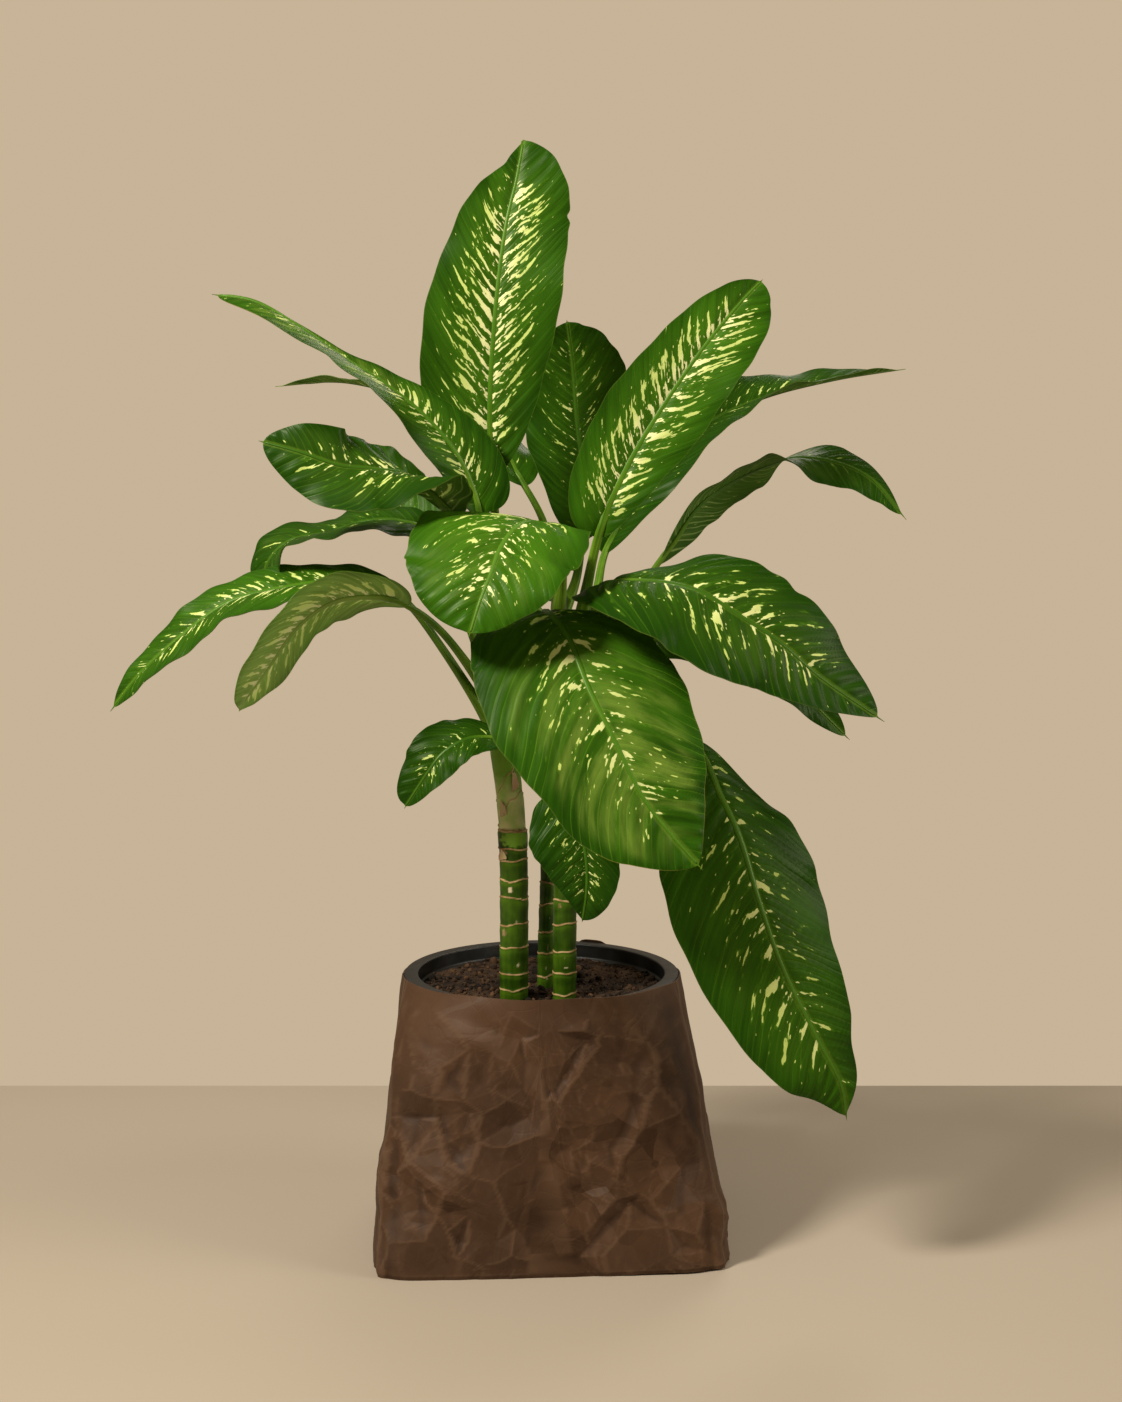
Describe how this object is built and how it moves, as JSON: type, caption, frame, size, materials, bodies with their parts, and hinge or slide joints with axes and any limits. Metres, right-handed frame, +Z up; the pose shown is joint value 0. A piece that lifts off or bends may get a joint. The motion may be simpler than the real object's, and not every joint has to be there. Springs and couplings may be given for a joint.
{
  "type": "potted dieffenbachia",
  "caption": "House plant with upright canes and long cream-streaked leaves on arching petioles, growing in a black nursery pot inside a folded brown paper bag.",
  "frame": {"origin": "on the floor, under the middle of the pot's rim, on the flat base of the bag", "axes": "+Z up and along the plant's height; -Y is the front, which most leaves face; +X is to the right of a viewer at the front"},
  "size_m": [0.6813, 0.3531, 0.9317],
  "materials": {
    "leaf": "glossy dark green with cream and yellow-green streaks along the side veins",
    "cane": "smooth satin green with tan leaf-scar rings",
    "pot": "satin black injection-moulded plastic",
    "soil": "crumbly dry brown potting mix",
    "bag": "matte creased dark brown kraft paper"
  },
  "bodies": {
    "root": {"leaf_top": "leaf", "leaf_upper_right": "leaf", "leaf_back": "leaf", "leaf_right_long": "leaf", "leaf_right_arch": "leaf", "leaf_right_big": "leaf", "leaf_front_big": "leaf", "leaf_bottom_right": "leaf", "leaf_center": "leaf", "leaf_left_up": "leaf", "leaf_left_thin": "leaf", "leaf_left_mid": "leaf", "leaf_left_fold": "leaf", "leaf_left_lower": "leaf", "leaf_left_long": "leaf", "leaf_left_near": "leaf", "leaf_small_left": "leaf", "leaf_small_mid": "leaf", "leaf_right_under": "leaf", "cane_left": "cane", "cane_right": "cane", "cane_back": "cane", "nursery_pot": "pot", "soil": "soil", "paper_bag": "bag"}
  },
  "joints": []
}
